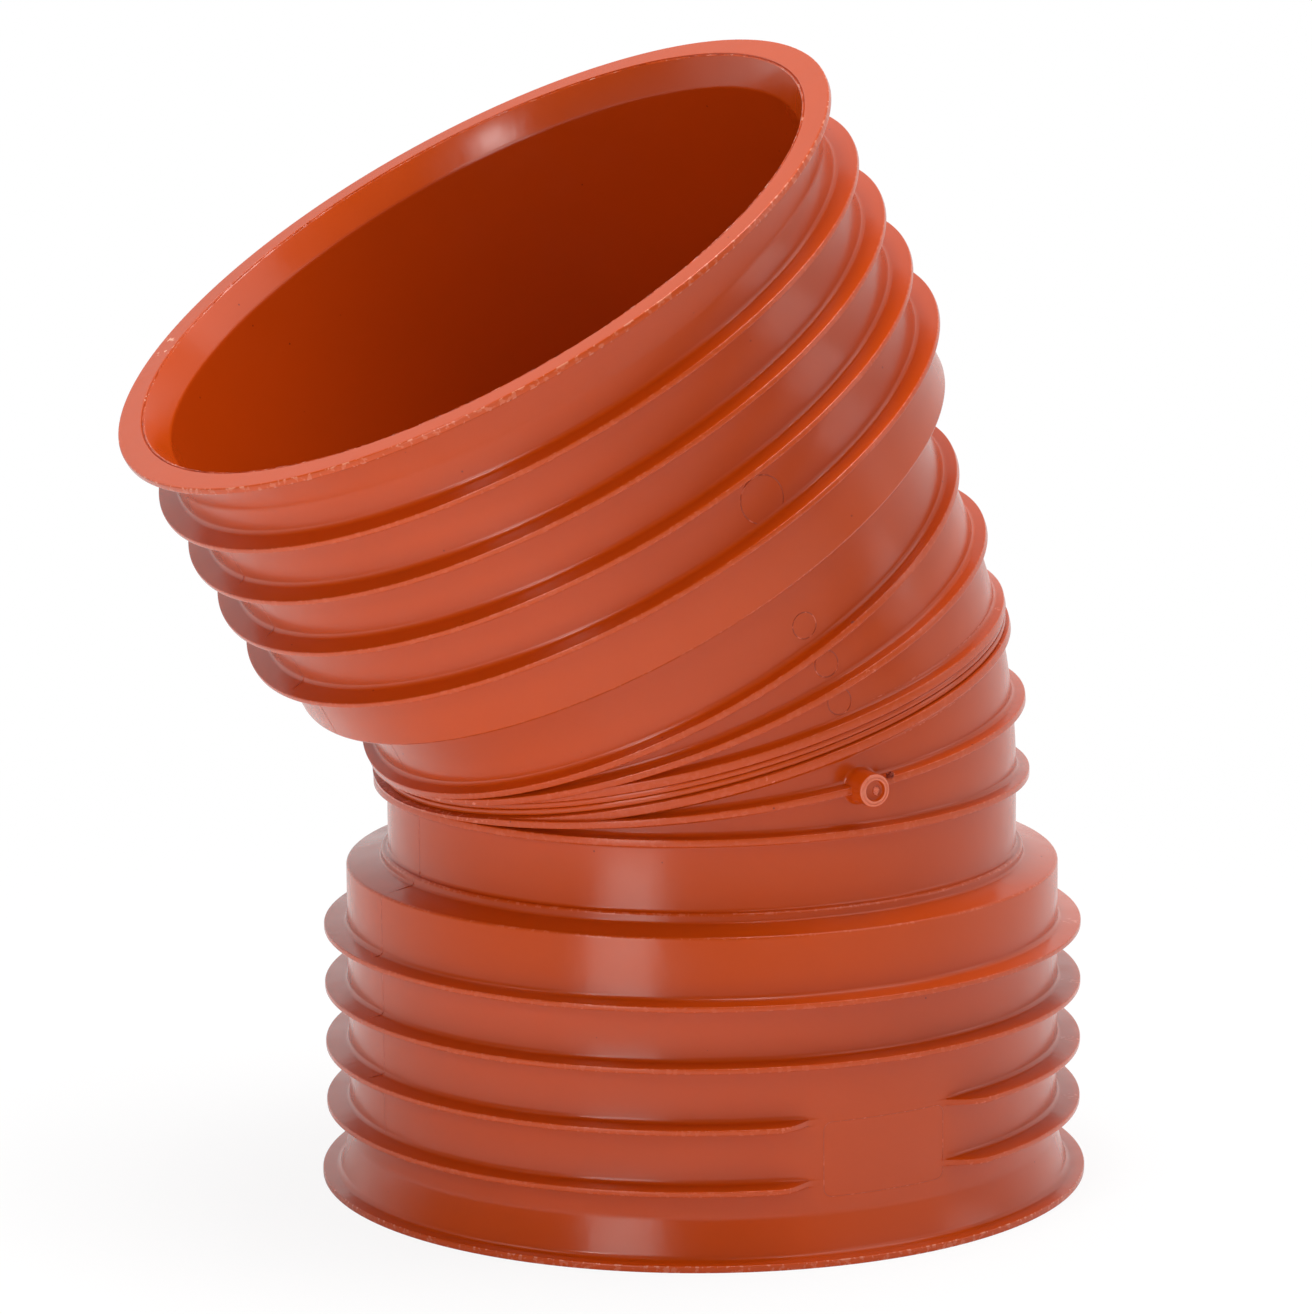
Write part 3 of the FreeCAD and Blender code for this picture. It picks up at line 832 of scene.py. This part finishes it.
# The backdrop is lit behind the part and to its right, and dim elsewhere.
DIM, LIT_BEHIND, LIT_RIGHT = 0.17, 0.4, 0.46
behind = add_ramp(tree, direction, -CAMERA_SIDE, 0.1, 0.8)
from_right = add_ramp(tree, direction, CAMERA_RIGHT, 0.2, 0.9)
walls = add_math(tree, "MULTIPLY_ADD", behind, LIT_BEHIND)
walls.node.inputs[2].default_value = DIM
studio = add_math(tree, "ADD", walls, add_math(tree, "MULTIPLY", from_right, LIT_RIGHT))
# Polished things mirror it white only low down. That fades out between 12 and 30 degrees up.
low_down = add_ramp(tree, direction, (0, 0, -1), -0.5, -0.2)
mirrored = add_math(tree, "MULTIPLY", ray["Is Glossy Ray"], add_math(tree, "MULTIPLY", behind, low_down))
straight = add_math(tree, "MAXIMUM", ray["Is Camera Ray"], ray["Is Transmission Ray"])
white_share = add_math(tree, "MAXIMUM", straight, mirrored)
strength = add_node(
    tree, "ShaderNodeMix", {"Factor": white_share, "A": studio, "B": 1.0}, data_type="FLOAT"
).outputs[0]
backdrop = add_node(
    tree, "ShaderNodeBackground", {"Color": (1, 1, 1, 1), "Strength": strength}
).outputs[0]
add_node(tree, "ShaderNodeOutputWorld", {"Surface": backdrop})
print("world:", world.name, "with", len(tree.nodes), "nodes")

# %% A lamp
def add_soft_box(name, place, aim, width, height, power):
    """A rectangular lamp that faces its aim, with its size in metres and its power in watts."""
    lamp = bpy.data.lights.new(name, "AREA")
    lamp.shape = "RECTANGLE"
    lamp.size = width
    lamp.size_y = height
    lamp.energy = power
    box = bpy.data.objects.new(name, lamp)
    bpy.context.scene.collection.objects.link(box)
    box.location = place
    facing = mathutils.Vector(aim) - mathutils.Vector(place)
    box.rotation_euler = facing.to_track_quat("-Z", "Y").to_euler()
    box.visible_camera = False


# %% The lamps
# The two strips stand 20 degrees to the camera's left. The higher one is further left.
STRIP_DISTANCE = 1.3
LAMP_SIDE = toward(-20, 0)
LAMP_RIGHT = toward(70, 0)
low_strip = LAMP_SIDE * STRIP_DISTANCE - LAMP_RIGHT * 0.09 + mathutils.Vector((0, 0, 0.40))
high_strip = LAMP_SIDE * STRIP_DISTANCE - LAMP_RIGHT * 0.33 + mathutils.Vector((0, 0, 0.84))
add_soft_box("low_strip", low_strip, low_strip - LAMP_SIDE, 0.46, 0.75, 3.8)
add_soft_box("high_strip", high_strip, high_strip - LAMP_SIDE, 0.17, 0.2, 2.5)
BOX_DISTANCE = 2.8
# Each box: its angle to the right of the camera, its angle up, its side in metres and its watts.
for name, azimuth, elevation, size, power in (
    ("top_box", 0, 89, 1.4, 67),
    ("high_right_box", 80, 62, 2.0, 18),
    ("front_right_box", 60, 30, 1.4, 4.0),
    ("high_left_box", -90, 60, 1.4, 12),
    ("low_right_box", 90, 12, 1.0, 3.8),
):
    add_soft_box(name, MIDDLE + toward(azimuth, elevation) * BOX_DISTANCE, MIDDLE, size, size, power)
print("lamps:", [lamp.name for lamp in bpy.data.lights])

# %% [markdown]
# ## The camera
# The camera's place was worked out from the ellipses of the two mouths and the ribs in the photograph:
# it stands 3.5 m away, 28 degrees round to the left and 11 degrees up, with a long lens.

# %% Camera
AZIMUTH, ELEVATION, ROLL = (math.radians(angle) for angle in (-28.21, 10.90, -0.41))
DISTANCE = 3508.6 * MM
TARGET_RIGHT, TARGET_UP = -26.32, 309.0
FOCAL_PIXELS, FRAME_PIXELS = 5955.15, 1314
back = mathutils.Vector((
    math.sin(AZIMUTH) * math.cos(ELEVATION), -math.cos(AZIMUTH) * math.cos(ELEVATION), math.sin(ELEVATION)
))
right = mathutils.Vector((math.cos(AZIMUTH), math.sin(AZIMUTH), 0))
up = back.cross(right)
target = right * TARGET_RIGHT * MM + mathutils.Vector((0, 0, TARGET_UP)) * MM
rolled_right = right * math.cos(ROLL) + up * math.sin(ROLL)
rolled_up = up * math.cos(ROLL) - right * math.sin(ROLL)
lens = bpy.data.cameras.new("photograph_view")
lens.sensor_fit = "VERTICAL"
lens.sensor_height = 36.0
lens.lens = 36.0 * FOCAL_PIXELS / FRAME_PIXELS
camera = bpy.data.objects.new("photograph_view", lens)
bpy.context.scene.collection.objects.link(camera)
turn = mathutils.Matrix((rolled_right, rolled_up, back)).transposed().to_4x4()
camera.matrix_world = mathutils.Matrix.Translation(target + back * DISTANCE) @ turn
bpy.context.scene.camera = camera
bpy.context.scene.view_settings.view_transform = "Standard"
print("lens:", round(lens.lens, 1), "mm")
